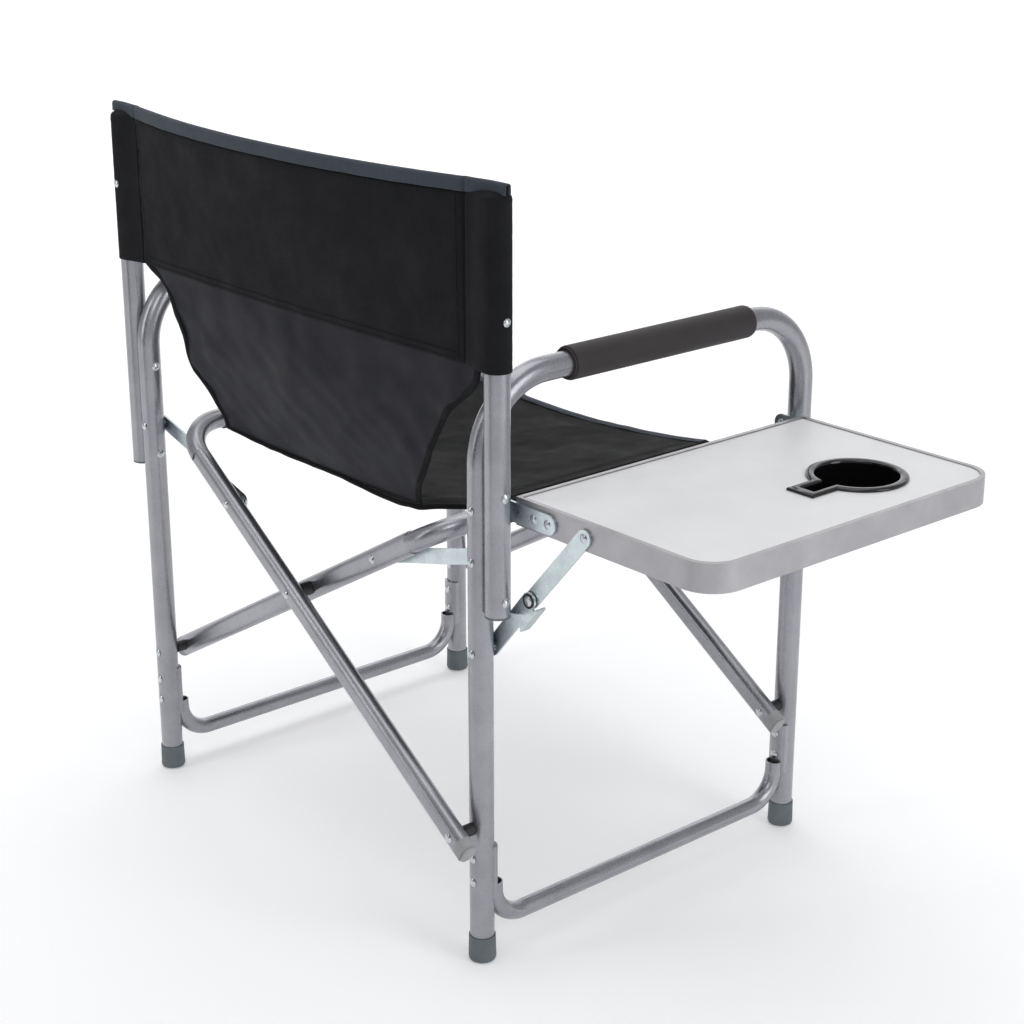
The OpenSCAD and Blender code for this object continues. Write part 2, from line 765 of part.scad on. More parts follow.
// a plastic washer and a thin cap over the pin, on the lower bar's outer face
module elbow_cap(face) {
    translate([0, face, 0]) rotate([-90, 0, 0]) cylinder(r = 7.5, h = 0.7);
    translate([0, face + 0.6, 0]) rotate([-90, 0, 0]) cylinder(r = 4, h = 0.3);
}
module brace_elbow_washers() {
    placed() color(black) translate([-leg_x - brace_elbow_x, 0, brace_elbow_h]) {
        elbow_cap(brace_lower_y);
        mirror([0, 1, 0]) elbow_cap(brace_lower_front_y);
    }
}
// rivet and spacer in the leg, behind the foot of the lower bar
module brace_leg_rivets() {
    placed() color(zinc) translate([-leg_x, 0, brace_leg_h]) {
        spaced_rivet(brace_lower_y, -spacer_gap, false);
        mirror([0, 1, 0]) spaced_rivet(brace_lower_front_y, -spacer_gap, false);
    }
}

// head and stub in the foot of the lower bar
module brace_foot_rivets() {
    placed() color(zinc) translate([-leg_x, 0, brace_leg_h]) {
        foot_rivet(brace_lower_y);
        mirror([0, 1, 0]) foot_rivet(brace_lower_front_y);
    }
}
module foot_rivet(face) {
    translate([0, face - bar_t, 0]) {
        rotate([-90, 0, 0]) cylinder(r = pin_r, h = bar_t);
        rotate([180, 0, 0]) rivet_head(h = flat_head_h);
    }
}

// ---- fabric ----

module back_sleeve() {
    color(black) translate([-upright_x, leg_y, band_low]) difference() {
        cylinder(r = sleeve_out, h = upright_top + 1 - band_low);
        translate([0, 0, -1]) cylinder(r = sleeve_in, h = upright_top + 3 - band_low);
    }
}
module back_sleeve_right() { placed() difference() { back_sleeve(); screw_right(fit); } }
module back_sleeve_left() { placed() difference() { left_side() back_sleeve(); screw_left(fit); } }

// thin arc in plan, bowed to the rear, between -half and +half
module bowed(half, front_y, bow, t) {
    r = (half * half + bow * bow) / (2 * bow);
    intersection() {
        translate([0, front_y + bow - r]) difference() {
            circle(r = r + t, $fn = 360);
            circle(r = r, $fn = 360);
        }
        translate([-half, front_y - 60]) square([2 * half, 60 + bow + 60]);
    }
}

module back_panel() {
    placed() color(black) translate([0, 0, band_low + 2]) linear_extrude(height = upright_top - band_low - 2)
        bowed(upright_x - sleeve_out - 1.3, leg_y + sleeve_out - 2, band_bow, 2);
}

// slate binding folded over the top edge
module top_flap() {
    placed() color([0.28, 0.31, 0.35]) translate([0, 0, upright_top + 1.5])
        linear_extrude(height = band_top - upright_top - 1.5) bowed(flap_x, leg_y + sleeve_out - 2, band_bow + 1, 4);
}

// coated panel between the band and the seat, waisted at both sides
module lower_back_panel() {
    top = band_low + 1;
    low = rail_h + 8;
    placed() color([0.18, 0.18, 0.2]) intersection() {
        translate([-leg_x, 0, 0]) rotate([90, 0, 90]) linear_extrude(height = frame_w) polygon([
            [leg_y + 16, top], [leg_y + 4, 530], [seat_tail - 2, low], [seat_tail, low],
            [leg_y + 6, 530], [leg_y + 18, top]]);
        translate([0, 2 * leg_y, 0]) rotate([90, 0, 0]) linear_extrude(height = 2 * leg_y) polygon([
            [-296, top], [-262, 590], [-228, 562], [-216, 530], [-190, 490], [-172, low],
            [172, low], [190, 490], [216, 530], [228, 562], [262, 590], [296, top]]);
    }
}

module seat_sleeve() {
    color(black) translate([rail_x, seat_front, rail_h]) rotate([-90, 0, 0]) difference() {
        cylinder(r = seat_sleeve_out, h = seat_rear - seat_front);
        translate([0, 0, -1]) cylinder(r = seat_sleeve_in, h = seat_rear - seat_front + 2);
    }
}
module seat_sleeve_left() { placed() seat_sleeve(); }
module seat_sleeve_right() { placed() left_side() seat_sleeve(); }

// sagging seat between the rails
module seat_panel() {
    half = rail_x - seat_sleeve_out - 0.8;
    top = rail_h + seat_sleeve_out - 1;
    placed() color([0.2, 0.2, 0.2]) intersection() {
        translate([0, seat_front, 0]) mirror([0, 0, 1]) rotate([90, 0, 0]) mirror([0, 0, 1])
            linear_extrude(height = seat_tail - seat_front) bowed(half, -top, seat_sag, 2);
        linear_extrude(height = 2 * rail_h) polygon([[-half - 1, seat_front], [half + 1, seat_front],
            [half + 1, seat_rear], [170, seat_tail - 3], [-170, seat_tail - 3], [-half - 1, seat_rear]]);
    }
}

side_frame_right();
side_frame_left();
stretcher_right();
stretcher_left();
foot_caps_right();
foot_caps_left();
grip_right();
grip_left();
back_upright_right();
back_upright_left();
upright_plugs_right();
upright_plugs_left();
frame_rivets_right();
frame_rivets_left();
sleeve_screw_right();
sleeve_screw_left();
cross_frame_a();
cross_frame_b();
end_plugs_a();
end_plugs_b();
pivot_rivets_right();
pivot_rivets_left();
pivot_bushes_right();
pivot_bushes_left();
crossing_rivets();
crossing_bushes();
link_left_rear();
link_left_front();
link_right_rear();
link_right_front();
link_leg_rivets_left();
link_leg_rivets_right();
link_tail_rivets_left();
link_tail_rivets_right();
link_tube_rivets_a();
link_tube_rivets_b();
table_edge();
table_rail();
table_top();
cup_holder();
bracket_rear();
bracket_front();
table_rivets();
table_pivot_rivets();
brace_upper_bars();
brace_lower_bars();
brace_table_rivets();
brace_elbow_rivets();
brace_elbow_washers();
brace_leg_rivets();
brace_foot_rivets();
back_sleeve_right();
back_sleeve_left();
back_panel();
top_flap();
lower_back_panel();
seat_sleeve_right();
seat_sleeve_left();
seat_panel();
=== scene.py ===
import json
import math

import bpy
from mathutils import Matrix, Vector, noise


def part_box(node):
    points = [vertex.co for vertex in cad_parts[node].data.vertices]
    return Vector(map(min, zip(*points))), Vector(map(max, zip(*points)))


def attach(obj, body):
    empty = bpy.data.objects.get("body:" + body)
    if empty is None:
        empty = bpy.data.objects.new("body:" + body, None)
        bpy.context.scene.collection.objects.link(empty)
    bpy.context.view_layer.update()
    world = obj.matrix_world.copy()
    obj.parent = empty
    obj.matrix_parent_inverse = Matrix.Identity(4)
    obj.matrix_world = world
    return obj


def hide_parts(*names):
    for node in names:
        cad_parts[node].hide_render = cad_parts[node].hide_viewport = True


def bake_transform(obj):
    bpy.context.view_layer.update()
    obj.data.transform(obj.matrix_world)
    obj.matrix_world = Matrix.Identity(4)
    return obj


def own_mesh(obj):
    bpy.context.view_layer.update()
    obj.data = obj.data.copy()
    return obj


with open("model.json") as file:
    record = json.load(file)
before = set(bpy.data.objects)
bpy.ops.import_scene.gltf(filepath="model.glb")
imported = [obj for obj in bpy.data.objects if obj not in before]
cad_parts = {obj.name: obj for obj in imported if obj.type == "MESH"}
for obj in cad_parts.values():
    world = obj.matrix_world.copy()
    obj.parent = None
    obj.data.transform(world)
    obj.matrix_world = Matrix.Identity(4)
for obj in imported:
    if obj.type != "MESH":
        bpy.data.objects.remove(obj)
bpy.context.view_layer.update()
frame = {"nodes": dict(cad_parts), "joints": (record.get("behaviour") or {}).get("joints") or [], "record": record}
RECORD = frame["record"]
JOINTS = {j["name"]: j for j in frame["joints"]}

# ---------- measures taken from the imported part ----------

MM = 0.001
up_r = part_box("back_upright_right")
up_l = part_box("back_upright_left")
UP_RX = (up_r[0].x + up_r[1].x) / 2
UP_LX = (up_l[0].x + up_l[1].x) / 2
UP_Y = (up_r[0].y + up_r[1].y) / 2
CX = (UP_RX + UP_LX) / 2
SPAN = (UP_LX - UP_RX) / 2
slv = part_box("back_sleeve_right")
SLV_R = (slv[1].x - slv[0].x) / 2
BAND_LOW, BAND_HIGH = slv[0].z, slv[1].z
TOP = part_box("top_flap")[1].z
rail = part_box("seat_sleeve_left")
RAIL_X = (rail[0].x + rail[1].x) / 2 - CX
RAIL_Z = (rail[0].z + rail[1].z) / 2
RAIL_R = (rail[1].z - rail[0].z) / 2
SEAT_FRONT, SEAT_REAR = rail[0].y, rail[1].y
SEAT_TAIL = 198 * MM
SEAM_X = 281 * MM
SEAM_Z = BAND_LOW + 4 * MM


def smooth(t):
    t = min(1.0, max(0.0, t))
    return t * t * (3 - 2 * t)


def wave(x, y, z, size, seed):
    return noise.noise(Vector((x / size + seed, y / size + 3.1 * seed, z / size - seed)))


# ---------- materials ----------

def principled(name, color, rough, metal=0.0, **more):
    mat = bpy.data.materials.new(name)
    mat.use_nodes = True
    nt = mat.node_tree
    shader = nt.nodes["Principled BSDF"]
    shader.inputs["Base Color"].default_value = (*color, 1)
    shader.inputs["Roughness"].default_value = rough
    shader.inputs["Metallic"].default_value = metal
    for key, value in more.items():
        shader.inputs[key.replace("_", " ")].default_value = value
    return mat, nt, shader


def new(nt, kind, **values):
    node = nt.nodes.new(kind)
    for key, value in values.items():
        if hasattr(node, key):
            setattr(node, key, value)
        else:
            node.inputs[key.replace("_", " ")].default_value = value
    return node


def coords(nt, scale=(1, 1, 1)):
    tex = new(nt, "ShaderNodeTexCoord")
    mapping = new(nt, "ShaderNodeMapping")
    mapping.inputs["Scale"].default_value = scale
    nt.links.new(tex.outputs["Object"], mapping.inputs["Vector"])
    return mapping.outputs["Vector"]


def speckle(nt, vector, scale, detail=4, rough=0.6):
    tex = new(nt, "ShaderNodeTexNoise")
    tex.inputs["Scale"].default_value = scale
    tex.inputs["Detail"].default_value = detail
    tex.inputs["Roughness"].default_value = rough
    nt.links.new(vector, tex.inputs["Vector"])
    return tex.outputs["Fac"]


def remap(nt, value, low, high, a=0.3, b=0.7):
    node = new(nt, "ShaderNodeMapRange")
    node.inputs["From Min"].default_value = a
    node.inputs["From Max"].default_value = b
    node.inputs["To Min"].default_value = low
    node.inputs["To Max"].default_value = high
    nt.links.new(value, node.inputs["Value"])
    return node.outputs["Result"]


def tint(nt, shader, value, dark, light):
    ramp = new(nt, "ShaderNodeValToRGB")
    ramp.color_ramp.elements[0].position = 0.3
    ramp.color_ramp.elements[0].color = (*dark, 1)
    ramp.color_ramp.elements[1].position = 0.7
    ramp.color_ramp.elements[1].color = (*light, 1)
    nt.links.new(value, ramp.inputs["Fac"])
    nt.links.new(ramp.outputs["Color"], shader.inputs["Base Color"])


def bump(nt, shader, height, strength, distance, after=None):
    node = new(nt, "ShaderNodeBump")
    node.inputs["Strength"].default_value = strength
    node.inputs["Distance"].default_value = distance
    nt.links.new(height, node.inputs["Height"])
    if after:
        nt.links.new(after.outputs["Normal"], node.inputs["Normal"])
    nt.links.new(node.outputs["Normal"], shader.inputs["Normal"])
    return node


def enamel():
    mat, nt, sh = principled("tube_enamel", (0.40, 0.395, 0.415), 0.3, 0.85, Coat_Weight=0.25,
                             Coat_Roughness=0.14)
    v = coords(nt)
    flake = speckle(nt, v, 900, 2)
    cloud = speckle(nt, v, 22, 5)
    tint(nt, sh, cloud, (0.290, 0.292, 0.318), (0.360, 0.362, 0.390))
    nt.links.new(remap(nt, flake, 0.25, 0.36), sh.inputs["Roughness"])
    first = bump(nt, sh, flake, 0.05, 0.0004)
    bump(nt, sh, speckle(nt, v, 60, 3), 0.08, 0.0006, first)
    return mat


def zinc(name, color, rough):
    mat, nt, sh = principled(name, color, rough, 1.0)
    v = coords(nt)
    cloud = speckle(nt, v, 70, 5)
    tint(nt, sh, cloud, [c * 0.88 for c in color], [min(1, c * 1.06) for c in color])
    nt.links.new(remap(nt, speckle(nt, v, 240, 3), rough * 0.85, rough * 1.3), sh.inputs["Roughness"])
    bump(nt, sh, speckle(nt, coords(nt, (1, 9, 9)), 160, 3), 0.08, 0.0004)
    return mat


def plastic(name, color, rough, grain=0.25, coat=0.0, shine=0.5):
    mat, nt, sh = principled(name, color, rough, 0.0, Coat_Weight=coat, Coat_Roughness=0.05,
                             Specular_IOR_Level=shine)
    v = coords(nt)
    fine = speckle(nt, v, 1400, 2)
    cloud = speckle(nt, v, 40, 4)
    tint(nt, sh, cloud, [c * 0.85 for c in color], [c * 1.12 for c in color])
    nt.links.new(remap(nt, fine, rough * 0.85, min(1, rough * 1.2)), sh.inputs["Roughness"])
    bump(nt, sh, fine, grain, 0.0003)
    return mat


def foam():
    mat, nt, sh = principled("grip_foam", (0.03, 0.025, 0.027), 0.62, 0.0, Sheen_Weight=0.03,
                             Sheen_Roughness=0.5, Specular_IOR_Level=0.35)
    v = coords(nt)
    pores = speckle(nt, v, 1100, 3)
    cloud = speckle(nt, v, 34, 4)
    tint(nt, sh, cloud, (0.023, 0.019, 0.021), (0.037, 0.031, 0.033))
    nt.links.new(remap(nt, cloud, 0.5, 0.7), sh.inputs["Roughness"])
    first = bump(nt, sh, pores, 0.35, 0.0005)
    bump(nt, sh, speckle(nt, coords(nt, (1, 0.3, 1)), 75, 3), 0.25, 0.0010, first)
    return mat


def laminate():
    mat, nt, sh = principled("table_laminate", (0.72, 0.72, 0.73), 0.42, 0.0, Coat_Weight=0.1,
                             Coat_Roughness=0.3)
    v = coords(nt)
    cloud = speckle(nt, v, 14, 6)
    fine = speckle(nt, v, 900, 2)
    tint(nt, sh, cloud, (0.70, 0.702, 0.715), (0.735, 0.735, 0.745))
    nt.links.new(remap(nt, speckle(nt, v, 35, 4), 0.34, 0.52), sh.inputs["Roughness"])
    bump(nt, sh, fine, 0.14, 0.0003)
    return mat


def alu():
    mat, nt, sh = principled("table_edge_alu", (0.42, 0.41, 0.425), 0.36, 0.85)
    v = coords(nt, (1, 1, 26))
    lines = speckle(nt, v, 60, 4)
    cloud = speckle(nt, coords(nt), 30, 4)
    tint(nt, sh, cloud, (0.385, 0.376, 0.392), (0.455, 0.446, 0.462))
    nt.links.new(remap(nt, lines, 0.32, 0.48), sh.inputs["Roughness"])
    bump(nt, sh, lines, 0.12, 0.0004)
    return mat


def cloth(name, color, rough, sheen, weave=0.5, coat=0.0, size=0.9, shine=0.25):
    """Woven polyester: warp and weft threads as crossed waves, with a slow change of shade."""
    mat, nt, sh = principled(name, color, rough, 0.0, Sheen_Weight=sheen, Sheen_Roughness=0.4,
                             Coat_Weight=coat, Coat_Roughness=0.36, Specular_IOR_Level=shine)
    v = coords(nt)
    threads = []
    for direction, profile in (("X", "SIN"), ("Z", "SIN"), ("Y", "SIN")):
        tex = new(nt, "ShaderNodeTexWave")
        tex.wave_type = "BANDS"
        tex.bands_direction = direction
        tex.wave_profile = profile
        tex.inputs["Scale"].default_value = 1000 / size / 3.1416
        tex.inputs["Distortion"].default_value = 0.3
        tex.inputs["Detail"].default_value = 1
        tex.inputs["Detail Scale"].default_value = 0.4
        nt.links.new(v, tex.inputs["Vector"])
        threads.append(tex.outputs["Fac"])
    total = threads[0]
    for other in threads[1:]:
        add = new(nt, "ShaderNodeMath")
        add.operation = "ADD"
        nt.links.new(total, add.inputs[0])
        nt.links.new(other, add.inputs[1])
        total = add.outputs[0]
    cloud = speckle(nt, v, 9, 6, 0.55)
    tint(nt, sh, cloud, [c * 0.90 for c in color], [c * 1.10 for c in color])
    nt.links.new(remap(nt, speckle(nt, v, 26, 5), rough * 0.86, min(1, rough * 1.12)), sh.inputs["Roughness"])
    first = bump(nt, sh, total, weave, 0.0004)
    bump(nt, sh, speckle(nt, v, 48, 4), 0.06, 0.0010, first)
    return mat


def thread_material():
    mat, nt, sh = principled("sewing_thread", (0.007, 0.007, 0.008), 0.7, 0.0, Sheen_Weight=0.02,
                             Specular_IOR_Level=0.1)
    v = coords(nt)
    twist = speckle(nt, v, 2600, 2)
    nt.links.new(remap(nt, twist, 0.5, 0.75), sh.inputs["Roughness"])
    bump(nt, sh, twist, 0.5, 0.0003)
    return mat


MATS = {
    "tube_paint": enamel(),
    "zinc": zinc("bright_zinc", (0.60, 0.67, 0.69), 0.30),
    "rivet": zinc("rivet_zinc", (0.60, 0.63, 0.65), 0.24),
    "cap_plastic": plastic("foot_plastic", (0.115, 0.135, 0.145), 0.55, 0.35),
    "plug_plastic": plastic("plug_plastic", (0.33, 0.335, 0.34), 0.5, 0.25),
    "bush_plastic": plastic("bush_plastic", (0.012, 0.012, 0.013), 0.5, 0.2),
    "grip_foam": foam(),
    "laminate": laminate(),
    "table_alu": alu(),
    "cup_gloss": plastic("cup_gloss", (0.005, 0.005, 0.006), 0.12, 0.02, 0.35, 0.4),
    "band_fabric": cloth("band_cloth", (0.0100, 0.0103, 0.0118), 0.86, 0.02, 0.35, shine=0.15),
    "panel_fabric": cloth("panel_cloth", (0.0125, 0.0128, 0.0178), 0.52, 0.01, 0.12, 0.02, shine=0.13),
    "seat_fabric": cloth("seat_cloth", (0.0085, 0.0088, 0.0090), 0.70, 0.01, 0.25, 0.0, shine=0.08),
    "binding": cloth("binding_tape", (0.046, 0.057, 0.074), 0.78, 0.06, 0.5, 0.0, 1.2),
}
THREAD = thread_material()
SLOT_OF = {s["node"]: s["material_slot"] for s in RECORD["subparts"]}


def smooth_by_angle(obj, degrees=32):
    for poly in obj.data.polygons:
        poly.use_smooth = True
    obj.data.set_sharp_from_angle(angle=math.radians(degrees))


BEVELS = {"table_edge": 0.9, "table_rail": 0.8, "table_top": 0.3, "bracket_rear": 0.5, "bracket_front": 0.5,
          "brace_upper_bars": 0.5, "brace_lower_bars": 0.5, "link_left_rear": 0.5, "link_left_front": 0.5,
          "link_right_rear": 0.5, "link_right_front": 0.5, "end_plugs_a": 0.6, "end_plugs_b": 0.6,
          "stretcher_right": 0.4, "stretcher_left": 0.4}
for name, obj in frame["nodes"].items():
    obj.data.materials.clear()
    obj.data.materials.append(MATS[SLOT_OF[name]])
    smooth_by_angle(obj)
    if name in BEVELS:
        bev = obj.modifiers.new("edge", "BEVEL")
        bev.width = BEVELS[name] * MM
        bev.segments = 4
        bev.limit_method = "ANGLE"
        bev.angle_limit = math.radians(40)
        bev.harden_normals = True


# ---------- mesh helpers ----------

def mesh_object(name, verts, faces, slot, material=None):
    data = bpy.data.meshes.new(name)
    data.from_pydata([tuple(v) for v in verts], [], faces)
    data.validate()
    data.update()
    obj = bpy.data.objects.new(name, data)
    bpy.context.scene.collection.objects.link(obj)
    data.materials.append(material or MATS[slot])
    for poly in data.polygons:
        poly.use_smooth = True
    return obj


def grid(point, nu, nv, wrap=False):
    """Points and quads of a grid: point(u, v) with u and v from 0 to 1."""
    verts = []
    for j in range(nv + 1):
        for i in range(nu if wrap else nu + 1):
            verts.append(point(i / nu, j / nv))
    row = nu if wrap else nu + 1
    faces = []
    for j in range(nv):
        for i in range(nu):
            a, b = j * row + i, j * row + (i + 1) % row
            faces.append((a, b, b + row, a + row))
    return verts, faces


def cloth_sheet(name, point, nu, nv, slot, thick, offset=0.0):
    verts, faces = grid(point, nu, nv)
    obj = mesh_object(name, verts, faces, slot)
    solid = obj.modifiers.new("thickness", "SOLIDIFY")
    solid.thickness = thick
    solid.offset = offset
    solid.use_even_offset = True
    return obj


def pad(name, front, rear, nu, nv, slot):
    """A closed pad between two grids that share their outline."""
    va, fa = grid(front, nu, nv)
    vb, fb = grid(rear, nu, nv)
    n = len(va)
    faces = [tuple(reversed(f)) for f in fa] + [tuple(i + n for i in f) for f in fb]
    row = nu + 1
    for i in range(nu):
        faces.append((i, i + 1, i + 1 + n, i + n))
        a, b = nv * row + i + 1, nv * row + i
        faces.append((a, b, b + n, a + n))
    for j in range(nv):
        a, b = (j + 1) * row, j * row
        faces.append((a, b, b + n, a + n))
        a, b = j * row + nu, (j + 1) * row + nu
        faces.append((a, b, b + n, a + n))
    return mesh_object(name, va + vb, faces, slot)


def tube(name, path, radius, slot, sides=8, material=None):
    """A thin round tube with closed ends along a list of points."""
    verts, faces = [], []
    side = None
    for k, p in enumerate(path):
        ahead = path[min(k + 1, len(path) - 1)] - path[max(k - 1, 0)]
        t = ahead.normalized()
        if side is None:
            side = t.cross(Vector((0, 0, 1)) if abs(t.z) < 0.9 else Vector((1, 0, 0))).normalized()
        side = (side - t * side.dot(t)).normalized()
        other = t.cross(side)
        for s in range(sides):
            a = 2 * math.pi * s / sides
            verts.append(p + (side * math.cos(a) + other * math.sin(a)) * radius)
    for k in range(len(path) - 1):
        for s in range(sides):
            a, b = k * sides + s, k * sides + (s + 1) % sides
            faces.append((a, b, b + sides, a + sides))
    faces.append(tuple(reversed(range(sides))))
    faces.append(tuple(range((len(path) - 1) * sides, len(path) * sides)))
    return mesh_object(name, verts, faces, slot, material)


def stitches(name, curve, normal, length, pitch, slot, width=0.5 * MM, lift=0.25 * MM):
    """A row of sewn stitches: short rounded dashes along curve(t), t from 0 to 1, lying on a surface."""
    samples = [curve(k / 400) for k in range(401)]
    dist = [0.0]
    for a, b in zip(samples, samples[1:]):
        dist.append(dist[-1] + (b - a).length)

    def at(d):
        k = max(0, min(399, next((i for i, x in enumerate(dist) if x > d), 400) - 1))
        span = dist[k + 1] - dist[k]
        return samples[k].lerp(samples[k + 1], (d - dist[k]) / span if span else 0)

    verts, faces = [], []
    d = pitch / 2
    while d + length < dist[-1]:
        a, b = at(d), at(d + length)
        t = (b - a).normalized()
        n = normal(a).normalized()
        s = t.cross(n).normalized()
        base = len(verts)
        for share, w, h in ((0, 0.35, -0.6), (0.25, 1, 0.8), (0.75, 1, 0.8), (1, 0.35, -0.6)):
            c = a.lerp(b, share) + n * lift * h
            for x, y in ((1, 0), (0, 1), (-1, 0), (0, -1)):
                verts.append(c + s * (x * width * w) + n * (y * width * 0.6 * w))
        for r in range(3):
            for q in range(4):
                i, j = base + r * 4 + q, base + r * 4 + (q + 1) % 4
                faces.append((i, j, j + 4, i + 4))
        faces.append((base + 3, base + 2, base + 1, base))
        faces.append((base + 12, base + 13, base + 14, base + 15))
        d += pitch
    return mesh_object(name, verts, faces, slot, THREAD)


# ---------- cup holder with a rounded lip ----------

cup_low, cup_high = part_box("cup_holder")
CUP_BORE = 41
CUP_LIP = 9
CUP_WALL = 2
CUP_RIM = 3.4 * MM
SLOT_HALF, SLOT_LIP = 8.5, 8
SLOT_END, SLOT_END_LIP = 72, 11
CUP = Vector(((cup_low.x + cup_high.x) / 2, cup_low.y + (CUP_BORE + CUP_LIP) * MM, 0))


def cup_outline(grow, z):
    """The bore with its slot, grown outwards by a distance in mm."""
    share = grow / CUP_LIP
    r, half, end = CUP_BORE + grow, SLOT_HALF + SLOT_LIP * share, SLOT_END + SLOT_END_LIP * share
    start = math.asin(half / r)
    mouth = r * math.cos(start)
    pts = [(half, end)]
    for k in range(1, 9):
        pts.append((half, end + (mouth - end) * k / 8))
    for k in range(1, 120):
        a = start + (2 * math.pi - 2 * start) * k / 120
        pts.append((r * math.sin(a), r * math.cos(a)))
    for k in range(9):
        pts.append((-half, mouth + (end - mouth) * k / 8))
    return [(CUP.x + x * MM, CUP.y + y * MM, z) for x, y in pts]


def cup_shell():
    """Up the bore, over the lip and down the outside, as pairs of growth and height."""
    top, rim = cup_high.z, cup_high.z - CUP_RIM
    profile = [(0.0, cup_low.z + CUP_WALL * MM), (0.0, rim - 12 * MM), (0.0, rim - 1 * MM)]
    for k in range(1, 12):
        a = math.pi * k / 12
        profile.append((CUP_LIP / 2 * (1 - math.cos(a)), top - 2.3 * MM + 2.3 * MM * math.sin(a) ** 0.9))
    profile += [(CUP_LIP, top - 2.4 * MM), (CUP_LIP - 0.1, rim), (CUP_WALL, rim), (CUP_WALL, cup_low.z)]
    verts, faces = [], []
    for grow, z in profile:
        verts += cup_outline(grow, z)
    n = len(verts) // len(profile)
    for j in range(len(profile) - 1):
        for i in range(n):
            a, b = j * n + i, j * n + (i + 1) % n
            faces.append((a, a + n, b + n, b))
    faces.append(tuple(range(n)))
    faces.append(tuple(reversed(range((len(profile) - 1) * n, len(profile) * n))))
    obj = mesh_object("cup_shell", verts, faces, "cup_gloss")
    smooth_by_angle(obj, 38)
    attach(obj, "table")
    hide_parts("cup_holder")


cup_shell()


# ---------- zinc heads of the elbow rivets, over their washers ----------

HEAD_R, HEAD_RISE, HEAD_SINK = 5.2 * MM, 1.1 * MM, 0.4 * MM
HEAD_SIDES, HEAD_RINGS = 28, 6


def elbow_head(side, face, out):
    """A domed head on a face of the washers; out is the way it stands, +1 rear or -1 front."""
    x, z = (washer_low.x + washer_high.x) / 2, (washer_low.z + washer_high.z) / 2
    ring, faces = [], []
    for j in range(HEAD_RINGS + 1):
        a = math.pi / 2 * j / HEAD_RINGS
        r = HEAD_R * math.cos(a) + 0.02 * MM
        y = face + out * (HEAD_RISE * math.sin(a) - HEAD_SINK)
        for i in range(HEAD_SIDES):
            b = 2 * math.pi * i / HEAD_SIDES
            ring.append((x + r * math.cos(b), y, z + r * math.sin(b)))
    for j in range(HEAD_RINGS):
        for i in range(HEAD_SIDES):
            a, b = j * HEAD_SIDES + i, j * HEAD_SIDES + (i + 1) % HEAD_SIDES
            quad = (a, b, b + HEAD_SIDES, a + HEAD_SIDES)
            faces.append(quad if out < 0 else tuple(reversed(quad)))
    bottom = tuple(range(HEAD_SIDES))
    crown = tuple(range(HEAD_RINGS * HEAD_SIDES, (HEAD_RINGS + 1) * HEAD_SIDES))
    faces.append(tuple(reversed(bottom)) if out < 0 else bottom)
    faces.append(crown if out < 0 else tuple(reversed(crown)))
    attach(mesh_object(f"elbow_head_{side}", ring, faces, "rivet"), "brace_lower")


washer_low, washer_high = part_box("brace_elbow_washers")
elbow_head("rear", washer_high.y, 1)
elbow_head("front", washer_low.y, -1)


# ---------- the fold joint; back pieces hang on the right frame's body, seat pieces stay where they are built ---

fold = JOINTS["fold"]
top_angle = math.radians(max(fold["range_deg"]))
pivot = Vector(fold["pos_m"])
cross = Vector(JOINTS["cross_turn"]["pos_m"])


def follows_back(obj):
    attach(obj, "right_frame")
    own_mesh(obj)
    return obj


def follows_seat(obj):
    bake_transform(obj)
    return obj


# ---------- back band ----------

def band_bow(x, z):
    """How far the band's middle surface lies behind the seams' plane."""
    share = max(0.0, 1 - (x / (SEAM_X + 6 * MM)) ** 2)
    height = (z - BAND_LOW) / (BAND_HIGH - BAND_LOW)
    return share * (8 + 25 * height) * MM


def band_wrinkle(x, z):
    low = smooth(1 - (z - BAND_LOW) / (70 * MM))
    pull = 0.9 * wave(x * 0.6, z * 1.6, 0, 0.075, 4.0) + 0.35 * wave(x, z, 0, 0.028, 9.0)
    hem = 0.9 * math.sin(x * 95 + 2.2 * wave(x, 0, 0, 0.09, 2.0)) * low
    tug = smooth(1 - (SEAM_X - abs(x)) / (85 * MM)) * 1.1 * wave(x, z * 2.6, 0, 0.03, 7.0)
    return (pull + hem * 0.5 + tug) * MM


BAND_Y = UP_Y + 4 * MM


def band_point(x, z, layer):
    """layer +1 is the rear face and -1 the front face."""
    edge = min(1.0, (SEAM_X - abs(x)) / (14 * MM))
    rim = min(1.0, (z - BAND_LOW) / (7 * MM), (BAND_HIGH - z) / (7 * MM))
    plump = math.sqrt(max(0.0, min(edge, rim)))
    thick = (1.1 + 1.9 * plump) * MM
    return Vector((CX + x, BAND_Y + band_bow(x, z) + band_wrinkle(x, z) + layer * thick, z))


def band_face(layer):
    height = BAND_HIGH - 1 * MM - BAND_LOW
    return lambda u, v: band_point((2 * u - 1) * SEAM_X, BAND_LOW + v * height, layer)


band = pad("back_band", band_face(-1), band_face(1), 150, 44, "band_fabric")
follows_back(band)
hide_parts("back_panel")


# ---------- sleeves round the uprights ----------

def sleeve_outline(sign, inner):
    """Plan of a sleeve as a closed loop: round the upright, then flat together to the seam."""
    pts = []
    cx, r = sign * SPAN, SLV_R - (1.2 * MM if inner else 0)
    seam = sign * SEAM_X
    flat_half = (2.6 if not inner else 1.4) * MM
    y_seam = BAND_Y - UP_Y
    steps = 40
    for k in range(steps + 1):
        a = math.radians(102 - 204 * k / steps)
        pts.append((cx + sign * r * math.cos(a), r * math.sin(a)))
    inward = 12
    last, first = pts[-1], pts[0]
    for k in range(1, inward + 1):
        t = k / inward
        y = last[1] + (y_seam - flat_half - last[1]) * smooth(t) ** 0.9
        pts.append((last[0] + (seam - last[0]) * t, y))
    for k in range(0, inward):
        t = 1 - k / inward
        y = first[1] + (y_seam + flat_half - first[1]) * smooth(t) ** 0.9
        pts.append((first[0] + (seam - first[0]) * t, y))
    return pts


